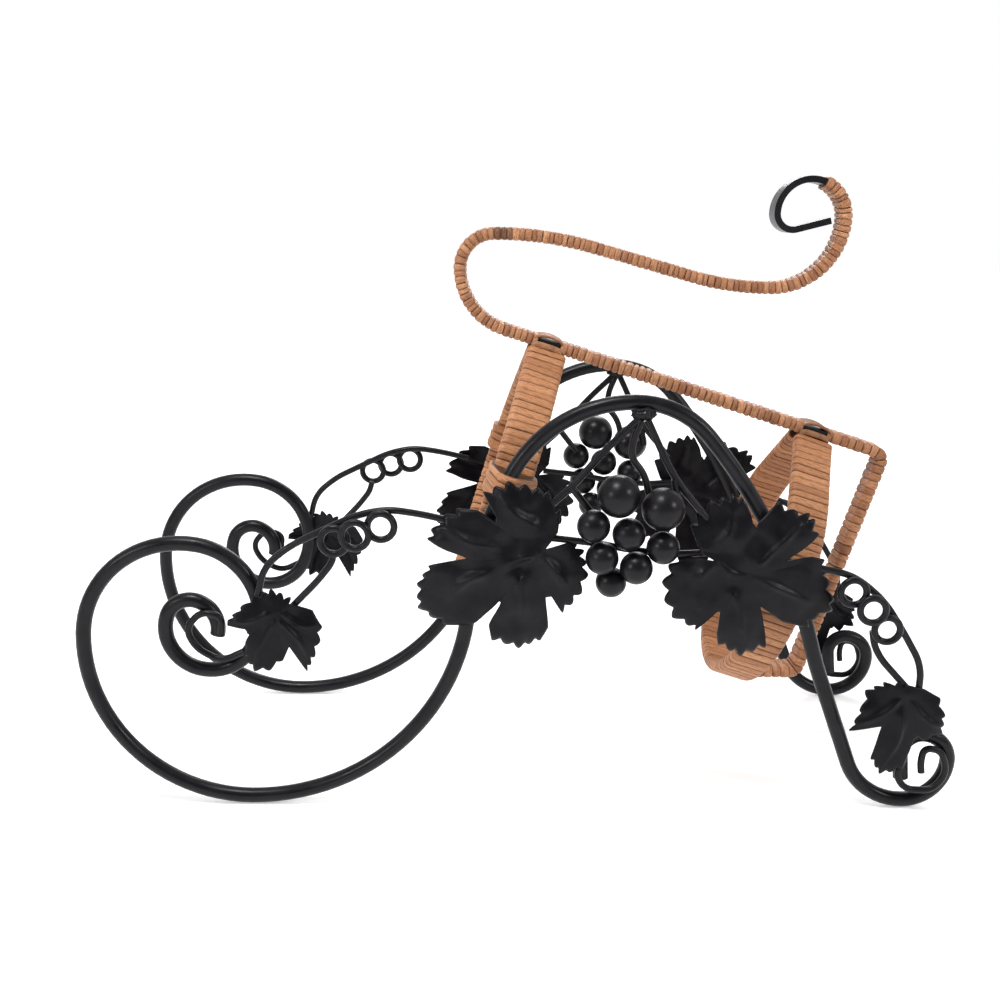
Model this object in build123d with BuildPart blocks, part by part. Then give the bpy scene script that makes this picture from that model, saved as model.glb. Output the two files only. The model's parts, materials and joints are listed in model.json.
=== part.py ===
"""Wrought-iron wine rack: two grape-vine side frames carry two cane-bound collars
that hold one bottle on a slant, and a cane-bound carrying handle runs over the top.

+X runs from the bottle's neck end to its base end, +Y across the rack, +Z up, and
the origin is on the table under the middle of the rack.  The word left in a node's
name means the -Y side and right means the +Y side, the mirror image.
"""
from build123d import *
import os
from math import cos, sin, tan, radians, hypot

# ---------------------------------------------------------------- driving dimensions
ROD_DIAMETER = 5.5          # round bar of the side frames
WIRE_DIAMETER = 2.5         # vine and tendril wire
FRAME_OFFSET = 53.0         # mid-plane of the rack to the centre of a side rod
AXIS_TILT = 18.0            # slope of the bottle's axis, down towards +X
FRONT_AXIS = (-6.3, 111.7)  # X, Z where the bottle's axis crosses the front collar
COLLAR_SPACING = 109.0      # front collar to rear collar, along the axis
COLLAR_RADIUS = 44.0        # bottle axis to the middle of the collar's steel
COLLAR_PEAK = 55.3          # bottle axis to the point of the collar's teardrop
NOSE_RADIUS = 7.0           # rounding of that point
BAND_THICKNESS = 2.0        # collar steel
BAND_WIDTH = 10.0
WRAP_WIDTH = 15.0           # collar with its cane, along the axis
WRAP_DEPTH = 5.0            # collar with its cane, across the steel
PEAK_GAP = 14.0             # bare steel left at the point of each collar
STRIP_WIDTH = 10.0          # flat steel of the handle
STRIP_THICKNESS = 2.4
CANE_THICKNESS = 1.3        # cane laid round the handle's steel
HANDLE_START = (11.0, 166.6)  # X, Z where the handle leaves the front collar
LEAF_THICKNESS = 1.0
LEAF_DOME_RADIUS = 110.0

ROD_RADIUS = ROD_DIAMETER / 2
WIRE_RADIUS = WIRE_DIAMETER / 2
WIRE_OFFSET = FRAME_OFFSET + ROD_RADIUS + WIRE_RADIUS
RING_OFFSETS = (WIRE_OFFSET + WIRE_DIAMETER, WIRE_OFFSET + 2 * WIRE_DIAMETER,
                WIRE_OFFSET + WIRE_DIAMETER)
BEAD_CENTRE, BEAD_RADIUS = (42.9, 148.4), 2.6
LEFT, RIGHT = -1, 1

# Each bend of a rod is (radius, turn in degrees, anticlockwise positive); a straight
# length is (length, 0).  Both lists run in the X-Z plane seen from the left side.
SIDE_ROD_START = (-109.5, 66.45)
SIDE_ROD_HEADING = 75.0
SIDE_ROD_BENDS = (
    (10.5, 80), (9.0, 95), (15.5, 95), (17.5, 75),          # small inner curl
    (26.0, 110), (37.0, 95), (59.0, 95),                    # large front loop, to the table
    (82.0, 75), (72.0, 10), (124.5, -25),                   # rise to the arch
    (49.0, -60), (33.5, -50), (198.5, -25),                 # arch and rear leg
    (155.0, 5), (35.6, 0),
    (22.0, 70), (16.0, 90), (10.0, 90), (7.5, 95), (9.0, 0),  # foot and its curl
)
HANDLE_HEADING = 180 - AXIS_TILT
HANDLE_BENDS = (
    (18.0, 0), (24.0, -72), (13.0, -90), (138.0, -16),      # nose of the handle
    (38.0, 0), (111.0, 16),                                 # grip
    (26.0, 90), (14.0, 65),                                 # rear curl
)
HANDLE_END_BENDS = ((12.4, 115), (6.0, 104), (13.0, 0))     # bare tip of the curl
BAR_LENGTH = 134.0          # handle's start to the rear corner, along the top bar
BAR_CORNER_RADIUS = 4.0
STOP_LENGTH = 87.9          # straight leg behind the bottle's base
TONGUE_LENGTH = 20.5        # foot of that leg, forward to the rear collar

TILT = radians(AXIS_TILT)
ALONG = Vector(cos(TILT), 0, -sin(TILT))
ABOVE = Vector(sin(TILT), 0, cos(TILT))


# ---------------------------------------------------------------- shared construction
def upright(y):
    """Plane whose local x is +X and local y is +Z, at the given Y."""
    return Plane(origin=(0, y, 0), x_dir=(1, 0, 0), z_dir=(0, -1, 0))


def heading_vector(heading):
    """Direction in the X-Z plane, in degrees anticlockwise from +X."""
    return Vector(cos(radians(heading)), 0, sin(radians(heading)))


def bent_path(y, start, heading, bends):
    """Chain of straights and arcs, each tangent to the one before."""
    with BuildLine(upright(y)) as path:
        point = Vector(start[0], y, start[1])
        direction = heading_vector(heading)
        for size, turn in bends:
            if turn == 0:
                piece = Line(point, point + direction * size)
            else:
                piece = JernArc(point, direction, size, turn)
            point, direction = piece @ 1, piece % 1
    return path.wires()[0]


def cross_plane(path, at=0.0):
    """Plane square to a path lying in X-Z, with its local x along +Y."""
    return Plane(origin=path @ at, x_dir=(0, 1, 0), z_dir=path % at)


def smooth_radii(points):
    """Largest bend radii that fit between the corners of a wire's route."""
    radii = []
    for before, corner, after in zip(points, points[1:], points[2:]):
        run_in = (corner[0] - before[0], corner[1] - before[1])
        run_out = (after[0] - corner[0], after[1] - corner[1])
        turn = Vector(*run_in, 0).get_angle(Vector(*run_out, 0))
        shorter = min(hypot(*run_in), hypot(*run_out))
        radii.append(0.45 * shorter / tan(radians(turn) / 2))
    return radii


def bent_wire(side, points, trims=()):
    """Vine wire lying against the outside of a side frame, cut where it meets others."""
    y = side * WIRE_OFFSET
    with BuildPart() as wire:
        with BuildLine(upright(y)) as route:
            if len(points) > 2:
                FilletPolyline(*points, radius=smooth_radii(points))
            else:
                Line(*points)
        path = route.wires()[0]
        with BuildSketch(cross_plane(path)):
            Circle(WIRE_RADIUS)
        sweep(path=path)
        for other in trims:
            add(other.part, mode=Mode.SUBTRACT)
    return wire


# ---------------------------------------------------------------- side frames
def make_side_rod(side):
    """One round bar: small curl, large loop, arch, rear leg and curled foot."""
    path = bent_path(side * FRAME_OFFSET, SIDE_ROD_START, SIDE_ROD_HEADING, SIDE_ROD_BENDS)
    with BuildPart() as rod:
        with BuildSketch(cross_plane(path)):
            Circle(ROD_RADIUS)
        sweep(path=path)
    return rod


def make_weld_bead(side, rod):
    """Blob of weld at the top of the arch, from which the fruit stalks fan out."""
    with BuildPart() as bead:
        with Locations((BEAD_CENTRE[0], side * WIRE_OFFSET, BEAD_CENTRE[1])):
            Sphere(BEAD_RADIUS)
        add(rod.part, mode=Mode.SUBTRACT)
    return bead


def leaf_outline(hub, corners, teeth):
    """Points round a saw-edged leaf: each edge between two corners is cut into teeth.

    The sides of a cleft run towards the hub and stay plain.
    """
    spacing, depth = teeth
    steepest = 0.75
    points = [Vector(hub[0] + reach * cos(radians(angle)), hub[1] + reach * sin(radians(angle)))
              for angle, reach in corners]
    outline = []
    for corner, following in zip(points, points[1:] + points[:1]):
        edge = following - corner
        inward = abs((Vector(*hub) - corner).normalized().dot(edge.normalized()))
        count = round(edge.length / spacing) if inward < steepest else 0
        outline.append(corner)
        for tooth in range(count):
            valley = corner + edge * ((tooth + 0.5) / count)
            outline.append(valley + (Vector(*hub) - valley).normalized() * depth)
            if tooth < count - 1:
                outline.append(corner + edge * ((tooth + 1) / count))
    return [(point.X, point.Y) for point in outline]


def make_leaf(side, leaf, trims):
    """Vine leaf of thin sheet, domed outwards, with deep clefts between its lobes."""
    hub, centre, crown, teeth, corners = leaf
    deepest, clearance = 12.0, 1.0
    with BuildPart() as blade:
        with Locations((centre[0], side * (crown - LEAF_DOME_RADIUS), centre[1])):
            Sphere(LEAF_DOME_RADIUS + LEAF_THICKNESS)
            Sphere(LEAF_DOME_RADIUS, mode=Mode.SUBTRACT)
        with BuildSketch(upright(side * (crown + LEAF_THICKNESS + clearance))):
            with BuildLine():
                Polyline(*leaf_outline(hub, corners, teeth), close=True)
            make_face()
        extrude(amount=side * deepest, mode=Mode.INTERSECT)
        for other in trims:
            add(other.part, mode=Mode.SUBTRACT)
    return blade


# A leaf is its hub, the middle of its dome, the dome's inner height above the rack's
# mid-plane, the spacing and depth of its teeth, and the corners of its lobes and clefts
# in turn, each as (direction in degrees, distance from the hub).
FRONT_BIG_LEAF = (
    (6.5, 98.9), (-6.0, 99.0), 61.4, (5.4, 2.0),
    ((42, 3.5), (48, 10.5), (63, 17.5), (73, 18.5), (80, 22.5), (100, 25), (112, 28), (131, 29.5),
     (137, 20), (141, 18), (143, 26.5), (150, 32.5), (157, 35.5), (167, 38.5), (173, 39.5),
     (178, 32), (183, 24.5), (187, 39), (196, 45), (207, 48.5), (220, 43.5), (229.5, 36.5), (231, 33),
     (231.5, 22), (234, 22), (237, 32), (244, 37.5), (260, 37.5), (272, 34), (278.5, 28.5),
     (280, 16.5), (287.5, 16.5), (291.5, 24.5), (316, 22), (335, 20), (362, 16.5), (373, 14), (380, 12)))
REAR_BIG_LEAF = (
    (80.7, 93.1), (82.0, 91.0), 61.5, (5.4, 2.0),
    ((88, 17), (91, 21), (97, 26.5), (103, 28), (120, 28.5), (133, 27.5), (143, 26), (159, 18.5),
     (162, 13), (166, 20.5), (170, 25), (177, 28), (190, 30.5), (203, 31.5), (216, 32), (226, 29.5),
     (233, 29), (234, 18.5), (237.5, 18), (247, 26), (252, 30), (268, 33), (285, 30.5), (287, 25),
     (289, 13.5), (304, 23), (316, 31.5), (323, 30.5), (333, 35), (340, 33.5), (351, 29.5), (359, 28.5),
     (368, 27), (373, 22.5), (378, 12.5), (382, 19), (387, 27.5), (399, 29), (405, 29), (415, 26.5),
     (428, 26.5), (440, 18.5)))
FRONT_SMALL_LEAF = (
    (-85.8, 77.2), (-88.0, 68.0), 60.0, (4.6, 1.3),
    ((24, 6.5), (49, 7), (107, 8.6), (148, 10.6), (171, 13.3), (184, 16.5), (190, 18.5),
     (196, 19.3),                                                                     # upper front lobe
     (208, 13.5), (212, 13.5), (231, 21), (247, 24.5), (260, 22.7), (273, 18.5),      # lower lobe
     (285, 13.5), (292, 25), (307, 21), (322, 18.5), (340, 16.5), (362, 12.2)))       # rear lobe
REAR_SMALL_LEAF = (
    (138.9, 46.4), (138.0, 34.0), 60.0, (4.6, 1.3),
    ((79, 4), (114, 5.4), (147, 9), (175, 13.7), (198, 16.6), (216, 23.7),            # front lobe
     (237, 14), (247, 27), (258, 32), (272, 29), (279, 21),                           # lower lobe
     (285, 17), (296, 19.4), (315, 21), (334, 16.8), (354, 13.4), (379, 7.4)))        # rear lobe

# Grapes as (diameter, distance in front of the vine wires, centres in X, Z).
GRAPES = (
    (15.0, 5.5, ((34.2, 120.5), (49.6, 116.0))),
    (11.6, 5.5, ((25.7, 109.9), (38.0, 107.0), (49.9, 102.2), (28.8, 98.4), (40.8, 94.9))),
    (10.9, 1.5, ((32.4, 88.5),)),
)

# Vine wires of one side as X, Z corners, in the order they are fitted, and the wires that
# each one is cut to meet.
WIRE_ROUTES = {
    "stalk_front": ((41.0, 146.6), (29.7, 135.9), (18.2, 122.4), (7.5, 113.0)),
    "stalk_front_branch": ((18.2, 122.4), (25.7, 112.7)),
    "stalk_rear": ((44.0, 146.1), (53.8, 125.3), (66.5, 110.5)),
    "stalk_rear_branch": ((53.8, 125.3), (55.2, 116.0)),
    "stalk_middle": ((41.9, 146.0), (39.2, 139.4), (38.6, 133.0), (43.4, 127.1), (45.3, 119.0)),
    "cross_wire": ((11.0, 104.2), (27.6, 102.3), (41.0, 99.6), (55.5, 98.3), (72.0, 99.5)),
    "front_vine": ((-22.0, 109.8), (-35.0, 112.8), (-46.5, 114.4), (-57.5, 112.2), (-68.0, 107.2),
                   (-81.5, 100.8), (-90.8, 93.0), (-94.5, 77.5)),
    "front_branch": ((-65.3, 99.0), (-66.6, 94.5), (-71.5, 88.3), (-83.0, 76.5)),
    "rear_vine": ((105.5, 93.6), (118.4, 90.8), (129.6, 81.6), (137.2, 70.0), (144.8, 57.0), (144.3, 44.0)),
    "rear_branch": ((126.3, 70.2), (127.3, 64.5), (130.3, 59.2), (141.0, 47.5)),
    "front_tendril": ((-99.0, 61.5), (-107.5, 57.5), (-116.5, 62.5), (-120.0, 70.0),
                      (-114.0, 76.5), (-106.5, 74.5), (-107.2, 68.0)),
    "rear_tendril": ((141.0, 21.0), (138.8, 14.0), (142.5, 8.8), (152.5, 8.2), (157.4, 15.5),
                     (154.6, 24.2), (148.2, 25.2), (147.4, 19.5), (147.9, 15.5)),
}
WIRE_TRIMS = {
    "stalk_front_branch": ("stalk_front",),
    "stalk_rear_branch": ("stalk_rear",),
    "stalk_middle": ("stalk_front", "stalk_rear"),
}
FRUIT_WIRES = ("stalk_front", "stalk_front_branch", "stalk_middle", "stalk_rear", "stalk_rear_branch",
               "cross_wire")

# Coils of the two tendrils as centres in X, Z and radius.
FRONT_RINGS = ((-48.5, 108.7), (-57.3, 106.1), (-65.1, 103.4)), 4.7
REAR_RINGS = ((117.9, 85.3), (124.4, 79.5), (130.7, 71.5)), 4.5


def make_grapes(side, trims):
    """Bunch of eight balls, each its own solid, welded against the wires behind."""
    with BuildPart() as bunch:
        for diameter, ahead, centres in GRAPES:
            with Locations(*[(x, side * (WIRE_OFFSET + ahead), z) for x, z in centres]):
                Sphere(diameter / 2)
        for other in trims:
            add(other.part, mode=Mode.SUBTRACT)
    return bunch


def make_rings(side, coils):
    """Three overlapping coils of a tendril, stepped outwards so that they lie on each other."""
    centres, ring_radius = coils
    with BuildPart() as rings:
        for (x, z), offset in zip(centres, RING_OFFSETS):
            with BuildSketch(Plane(origin=(x, side * offset, z), x_dir=(1, 0, 0), z_dir=(0, 0, 1))):
                with Locations((ring_radius, 0)):
                    Circle(WIRE_RADIUS)
            revolve(axis=Axis((x, side * offset, z), (0, 1, 0)), revolution_arc=360)
    return rings


def make_side(side, hand):
    """Every piece of one side frame, by node name."""
    rod = make_side_rod(side)
    wires = {}
    for name, route in WIRE_ROUTES.items():
        trims = [wires[other] for other in WIRE_TRIMS.get(name, ())]
        wires[name] = bent_wire(side, route, trims)
    behind = [rod] + list(wires.values())
    side_pieces = {
        "side_rod": rod,
        "weld_bead": make_weld_bead(side, rod),
        "front_rings": make_rings(side, FRONT_RINGS),
        "rear_rings": make_rings(side, REAR_RINGS),
        "grapes": make_grapes(side, [wires[name] for name in FRUIT_WIRES]),
        "front_big_leaf": make_leaf(side, FRONT_BIG_LEAF, behind),
        "rear_big_leaf": make_leaf(side, REAR_BIG_LEAF, behind),
        "front_small_leaf": make_leaf(side, FRONT_SMALL_LEAF, behind),
        "rear_small_leaf": make_leaf(side, REAR_SMALL_LEAF, behind),
    }
    side_pieces.update(wires)
    return {f"{hand}_{name}": piece for name, piece in side_pieces.items()}


# ---------------------------------------------------------------- collars
def collar_plane(along, setback=0.0):
    """Plane square to the bottle's axis: local x is -Y, local y points above the axis."""
    centre = Vector(FRONT_AXIS[0], 0, FRONT_AXIS[1]) + ALONG * (along + setback)
    return Plane(origin=centre, x_dir=(0, -1, 0), z_dir=ALONG * -1)


def teardrop(grow):
    """Collar outline: a circle round the bottle with a rounded point above it."""
    with BuildSketch() as outline:
        Circle(COLLAR_RADIUS + grow)
        with Locations((0, COLLAR_PEAK - NOSE_RADIUS)):
            Circle(NOSE_RADIUS + grow)
        make_hull()
    return outline.sketch


def make_collar_band(along):
    """Flat steel hoop."""
    with BuildPart() as band:
        with BuildSketch(collar_plane(along, -BAND_WIDTH / 2)):
            add(teardrop(BAND_THICKNESS / 2))
            add(teardrop(-BAND_THICKNESS / 2), mode=Mode.SUBTRACT)
        extrude(amount=-BAND_WIDTH)
    return band


def make_collar_wrap(along, band, trims):
    """Cane bound round the hoop, left open at the point where the handle crosses."""
    rounding = 1.4
    gap_height = 24.0
    with BuildPart() as wrap:
        with BuildSketch(collar_plane(along, -WRAP_WIDTH / 2)):
            add(teardrop(WRAP_DEPTH / 2))
            add(teardrop(-WRAP_DEPTH / 2), mode=Mode.SUBTRACT)
        extrude(amount=-WRAP_WIDTH)
        rims = faces().filter_by(GeomType.PLANE).edges()
        fillet(rims, rounding)
        with BuildSketch(collar_plane(along, -WRAP_WIDTH)):
            with Locations((0, COLLAR_PEAK)):
                Rectangle(PEAK_GAP, gap_height)
        extrude(amount=-2 * WRAP_WIDTH, mode=Mode.SUBTRACT)
        add(band.part, mode=Mode.SUBTRACT)
        for other in trims:
            add(other.part, mode=Mode.SUBTRACT)
    return wrap


def make_tie(side, along, rod, wrap):
    """Four turns of cane that lash a side rod to a collar."""
    turns, pitch, turn_height, slack, cane = 4, 2.3, 2.1, 0.3, 2.0
    core_depth = WRAP_DEPTH + 1.6
    lash_angle = 78.0       # round the collar from its point
    y = side * COLLAR_RADIUS * sin(radians(lash_angle))
    height = COLLAR_RADIUS * cos(radians(lash_angle))
    centre = Vector(FRONT_AXIS[0], 0, FRONT_AXIS[1]) + ALONG * along + ABOVE * height
    rod_gap = side * FRAME_OFFSET - y
    rod_shift = rod_along(rod, centre)
    with BuildPart() as tie:
        for turn in range(turns):
            level = (turn - (turns - 1) / 2) * pitch
            origin = centre + Vector(0, y, 0) + ABOVE * (level - turn_height / 2)
            with BuildSketch(Plane(origin=origin, x_dir=ALONG, z_dir=ABOVE)):
                with BuildSketch(mode=Mode.PRIVATE) as core:
                    Rectangle(WRAP_WIDTH, core_depth)
                    with Locations((rod_shift, rod_gap)):
                        Circle(ROD_RADIUS)
                    make_hull()
                offset(core.sketch, amount=slack + cane)
                offset(core.sketch, amount=slack, mode=Mode.SUBTRACT)
            extrude(amount=turn_height)
        add(rod.part, mode=Mode.SUBTRACT)
        add(wrap.part, mode=Mode.SUBTRACT)
    return tie


def rod_along(rod, centre):
    """How far along the axis the side rod lies from a collar, at the collar's level."""
    slab = Plane(origin=centre, x_dir=ALONG, z_dir=ABOVE)
    cut = section(rod.part, section_by=slab)
    nearest = min(cut.faces(), key=lambda face: abs((face.center() - centre).dot(ALONG)))
    return (nearest.center() - centre).dot(ALONG)


# ---------------------------------------------------------------- handle
def strip_along(path, width, thickness):
    """Flat strip swept along a path in the rack's mid-plane."""
    with BuildPart() as strip:
        with BuildSketch(cross_plane(path)):
            Rectangle(width, thickness)
        sweep(path=path)
    return strip


def cane_along(path, trims):
    """Cane wound round the handle's steel along part of its route."""
    rounding = 1.8
    with BuildPart() as cane:
        with BuildSketch(cross_plane(path)):
            RectangleRounded(STRIP_WIDTH + 2 * CANE_THICKNESS, STRIP_THICKNESS + 2 * CANE_THICKNESS, rounding)
        sweep(path=path)
        for other in trims:
            add(other.part, mode=Mode.SUBTRACT)
    return cane


bar_direction = heading_vector(-AXIS_TILT)
handle_start = Vector(HANDLE_START[0], 0, HANDLE_START[1])
STOP_BENDS = ((BAR_CORNER_RADIUS, -90), (STOP_LENGTH, 0),
              (BAR_CORNER_RADIUS, -(90 - AXIS_TILT)), (TONGUE_LENGTH, 0))
handle_path = bent_path(0, HANDLE_START, HANDLE_HEADING, HANDLE_BENDS + HANDLE_END_BENDS)
top_bar_path = bent_path(0, HANDLE_START, -AXIS_TILT, ((BAR_LENGTH, 0),) + STOP_BENDS)

with BuildPart() as handle_bar:
    add(strip_along(handle_path, STRIP_WIDTH, STRIP_THICKNESS).part)
    add(strip_along(top_bar_path, STRIP_WIDTH, STRIP_THICKNESS).part)

front_collar_band = make_collar_band(0.0)
rear_collar_band = make_collar_band(COLLAR_SPACING)
front_collar_wrap = make_collar_wrap(0.0, front_collar_band, (handle_bar,))
rear_collar_wrap = make_collar_wrap(COLLAR_SPACING, rear_collar_band, (handle_bar,))

grip_bare = 4.4             # steel left bare between the front collar's point and the grip
grip_point = handle_start + heading_vector(HANDLE_HEADING) * grip_bare
grip_path = bent_path(0, (grip_point.X, grip_point.Z), HANDLE_HEADING,
                      ((HANDLE_BENDS[0][0] - grip_bare, 0),) + HANDLE_BENDS[1:])
handle_wrap = cane_along(grip_path, (handle_bar, front_collar_band))

peak_clear = 4.6            # steel left bare on the top bar beside each collar's point
bar_point = handle_start + bar_direction * peak_clear
bar_path = bent_path(0, (bar_point.X, bar_point.Z), -AXIS_TILT, ((COLLAR_SPACING - 2 * peak_clear, 0),))
bar_wrap = cane_along(bar_path, (handle_bar, front_collar_band, rear_collar_band))

stop_start = COLLAR_SPACING + peak_clear
stop_point = handle_start + bar_direction * stop_start
tongue_bare = 4.0           # end of the tongue that is tucked into the rear collar's cane
stop_path = bent_path(0, (stop_point.X, stop_point.Z), -AXIS_TILT,
                      ((BAR_LENGTH - stop_start, 0),) + STOP_BENDS[:-1] + ((TONGUE_LENGTH - tongue_bare, 0),))
stop_wrap = cane_along(stop_path, (handle_bar, rear_collar_band, rear_collar_wrap))

pieces = {
    "handle_bar": handle_bar,
    "handle_wrap": handle_wrap,
    "bar_wrap": bar_wrap,
    "stop_wrap": stop_wrap,
    "front_collar_band": front_collar_band,
    "rear_collar_band": rear_collar_band,
    "front_collar_wrap": front_collar_wrap,
    "rear_collar_wrap": rear_collar_wrap,
}
for side, hand in ((LEFT, "left"), (RIGHT, "right")):
    side_pieces = make_side(side, hand)
    side_rod = side_pieces[f"{hand}_side_rod"]
    pieces.update(side_pieces)
    pieces[f"{hand}_front_tie"] = make_tie(side, 0.0, side_rod, front_collar_wrap)
    pieces[f"{hand}_rear_tie"] = make_tie(side, COLLAR_SPACING, side_rod, rear_collar_wrap)

os.makedirs("parts", exist_ok=True)
for node, piece in pieces.items():
    piece.part.label = node
    export_step(piece.part, f"parts/{node}.step")
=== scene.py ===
"""Looks for the wine rack: cane winding, vine leaves, grapes, welds and black paint."""
import json
import random
from collections import namedtuple
from math import acos, asin, atan2, ceil, cos, degrees, exp, floor, hypot, pi, radians, sin, sqrt

import bpy
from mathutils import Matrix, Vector, noise


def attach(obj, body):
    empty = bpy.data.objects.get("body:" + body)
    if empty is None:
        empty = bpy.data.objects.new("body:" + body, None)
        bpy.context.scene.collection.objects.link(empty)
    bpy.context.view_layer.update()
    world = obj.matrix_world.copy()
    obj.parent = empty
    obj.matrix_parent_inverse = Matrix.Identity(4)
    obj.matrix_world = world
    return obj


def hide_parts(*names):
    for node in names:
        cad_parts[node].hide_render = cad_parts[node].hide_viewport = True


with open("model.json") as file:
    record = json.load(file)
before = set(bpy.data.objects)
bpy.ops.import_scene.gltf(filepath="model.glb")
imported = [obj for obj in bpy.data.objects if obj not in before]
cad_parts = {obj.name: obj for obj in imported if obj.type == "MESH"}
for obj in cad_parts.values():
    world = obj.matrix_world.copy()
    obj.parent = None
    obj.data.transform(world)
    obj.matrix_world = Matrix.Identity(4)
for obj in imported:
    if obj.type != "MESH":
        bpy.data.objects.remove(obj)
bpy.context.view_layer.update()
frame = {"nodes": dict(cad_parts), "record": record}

mounts = {mount["name"]: mount for mount in frame["record"]["mounts"]}
SIDES = (("left", -1), ("right", 1))

# ---------------------------------------------------------------- sizes, in millimetres and degrees
MM = 0.001
BODY = "root"
AXIS_TILT = 18.0            # slope of the top bar and of the collars' axis
ROD_RADIUS, WIRE_RADIUS = 2.75, 1.25
FRAME_OFFSET = 53.0         # mid-plane of the rack to the middle of a side rod
WIRE_OFFSET = FRAME_OFFSET + ROD_RADIUS + WIRE_RADIUS
COLLAR_RADIUS = 44.0        # round part of a collar, to the middle of its cane
COLLAR_PEAK = 55.3          # collar's centre to its point
NOSE_RADIUS = 7.0           # rounding of the point
COLLAR_SPACING = 109.0
WRAP_WIDTH, WRAP_DEPTH = 15.0, 5.0
STRIP_WIDTH, STRIP_THICKNESS = 10.0, 2.4
CANE_THICKNESS = 1.3
HANDLE_START = (11.0, 166.6)
GRIP_BARE = 4.4             # bare steel between the front collar's point and the grip
# A bend is (length, 0) where it is straight, and else (radius, degrees turned to the left).
HANDLE_BENDS = ((18.0 - GRIP_BARE, 0), (24.0, -72), (13.0, -90), (138.0, -16), (38.0, 0), (111.0, 16),
                (26.0, 90), (14.0, 65))
BAR_LENGTH, STOP_LENGTH, CORNER_RADIUS, TONGUE_LENGTH = 134.0, 87.9, 4.0, 16.5
PEAK_CLEAR = 4.6            # collar's middle to the first turn of cane on the top bar
PEAK_BARE = 4.4             # half the bare steel at a collar's point
LASH_ANGLE = 78.0           # from a collar's point round to its lashings
TIE_HEIGHT = 11.0

TILT = radians(AXIS_TILT)
ALONG = Vector((cos(TILT), 0, -sin(TILT)))
ABOVE = Vector((sin(TILT), 0, cos(TILT)))
ACROSS = Vector((0, 1, 0))
FRONT_CENTRE = Vector(mounts["front_collar"]["pos_m"]) / MM
REAR_CENTRE = Vector(mounts["rear_collar"]["pos_m"]) / MM


# ---------------------------------------------------------------- camera, light and floor
CAMERA_PLACE = (-1.5, -464.8, 214.7)
CAMERA_YAW, CAMERA_PITCH = -0.013, 0.2332       # radians from the Y axis, and down
CAMERA_LENS, SENSOR_WIDTH = 43.2, 36.0
STAGE_MIDDLE = (0.0, 0.0, 0.1)
# A soft box is its place in metres, its width in metres and its power in watts.
SOFT_BOXES = {
    "top_box": ((-0.2, -0.3, 0.95), 0.22, 5.5),
    "left_box": ((-0.8, -0.7, 0.5), 0.18, 3.0),
    "right_box": ((0.85, -0.5, 0.6), 0.18, 3.0),
    "back_box": ((0.2, 0.95, 0.7), 0.4, 4.0),
}
# The surroundings are dim on the camera's side, so that black paint stays black, and white behind.
NEAR_GLOW, FAR_GLOW = 0.18, 1.0
GLOW_BLEND = 0.6            # the glow changes between this much of -Y and of +Y
FLOOR_WIDTH = 8.0


def make_camera():
    """Camera on the rack's left side, a little above it."""
    forward = Vector((sin(CAMERA_YAW) * cos(CAMERA_PITCH), cos(CAMERA_YAW) * cos(CAMERA_PITCH),
                      -sin(CAMERA_PITCH)))
    data = bpy.data.cameras.new("camera")
    data.lens, data.sensor_width = CAMERA_LENS, SENSOR_WIDTH
    data.clip_start = 0.01
    camera = bpy.data.objects.new("camera", data)
    camera.location = Vector(CAMERA_PLACE) * MM
    camera.rotation_euler = forward.to_track_quat("-Z", "Y").to_euler()
    bpy.context.scene.collection.objects.link(camera)
    bpy.context.scene.camera = camera


def make_soft_box(name, place, width, power):
    """Square area light aimed at the rack."""
    data = bpy.data.lights.new(name, "AREA")
    data.size, data.energy = width, power
    light = bpy.data.objects.new(name, data)
    light.location = place
    aim = Vector(STAGE_MIDDLE) - Vector(place)
    light.rotation_euler = aim.to_track_quat("-Z", "Y").to_euler()
    bpy.context.scene.collection.objects.link(light)


def make_surroundings():
    """White world whose strength grows from the camera's side to the far side."""
    world = bpy.data.worlds.new("studio")
    world.use_nodes = True
    tree = world.node_tree
    background = tree.nodes["Background"]
    background.inputs["Color"].default_value = (1, 1, 1, 1)
    direction = tree.nodes.new("ShaderNodeTexCoord").outputs["Generated"]
    split = tree.nodes.new("ShaderNodeSeparateXYZ")
    tree.links.new(direction, split.inputs["Vector"])
    glow = tree.nodes.new("ShaderNodeMapRange")
    glow.inputs["From Min"].default_value = -GLOW_BLEND
    glow.inputs["From Max"].default_value = GLOW_BLEND
    glow.inputs["To Min"].default_value = NEAR_GLOW
    glow.inputs["To Max"].default_value = FAR_GLOW
    tree.links.new(split.outputs["Y"], glow.inputs["Value"])
    tree.links.new(glow.outputs["Result"], background.inputs["Strength"])
    bpy.context.scene.world = world


def make_studio():
    """Pale floor, white surroundings and four soft boxes."""
    for name, (place, width, power) in SOFT_BOXES.items():
        make_soft_box(name, place, width, power)
    make_surroundings()
    bpy.context.scene.view_settings.view_transform = "Standard"
    bpy.ops.mesh.primitive_plane_add(size=FLOOR_WIDTH, location=(0, 0, 0))
    floor = bpy.context.object
    floor.name = "floor"
    floor.data.materials.append(floor_material())


# ---------------------------------------------------------------- materials
FLOOR_TINTS = ((0.86, 0.86, 0.86), (0.9, 0.9, 0.9))
FLOOR_GLOW = (0.38, 0.6)                # near the rack, and at the horizon
FLOOR_GLOW_DISTANCE = (0.4, 1.6)        # metres
PAINT_TINTS = ((0.0033, 0.0033, 0.0046), (0.0085, 0.0084, 0.0108))
# Seams between turns are darkened with painted shade; the same colour also darkens aged and worn cane.
SEAM_SHADE_AND_WEAR = 0.16           # a seam's colour, as a share of the cane's darkest tint
# A cane is its light, middle and dark tint, and its fibres per millimetre across a strand.
HANDLE_CANE = ((0.55, 0.265, 0.13), (0.30, 0.12, 0.052), (0.12, 0.038, 0.016), 2.2)
COLLAR_CANE = ((0.56, 0.262, 0.122), (0.36, 0.15, 0.064), (0.15, 0.05, 0.02), 2.4)
FIBRES_ALONG = 0.35         # fibre pattern per millimetre along a strand


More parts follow.
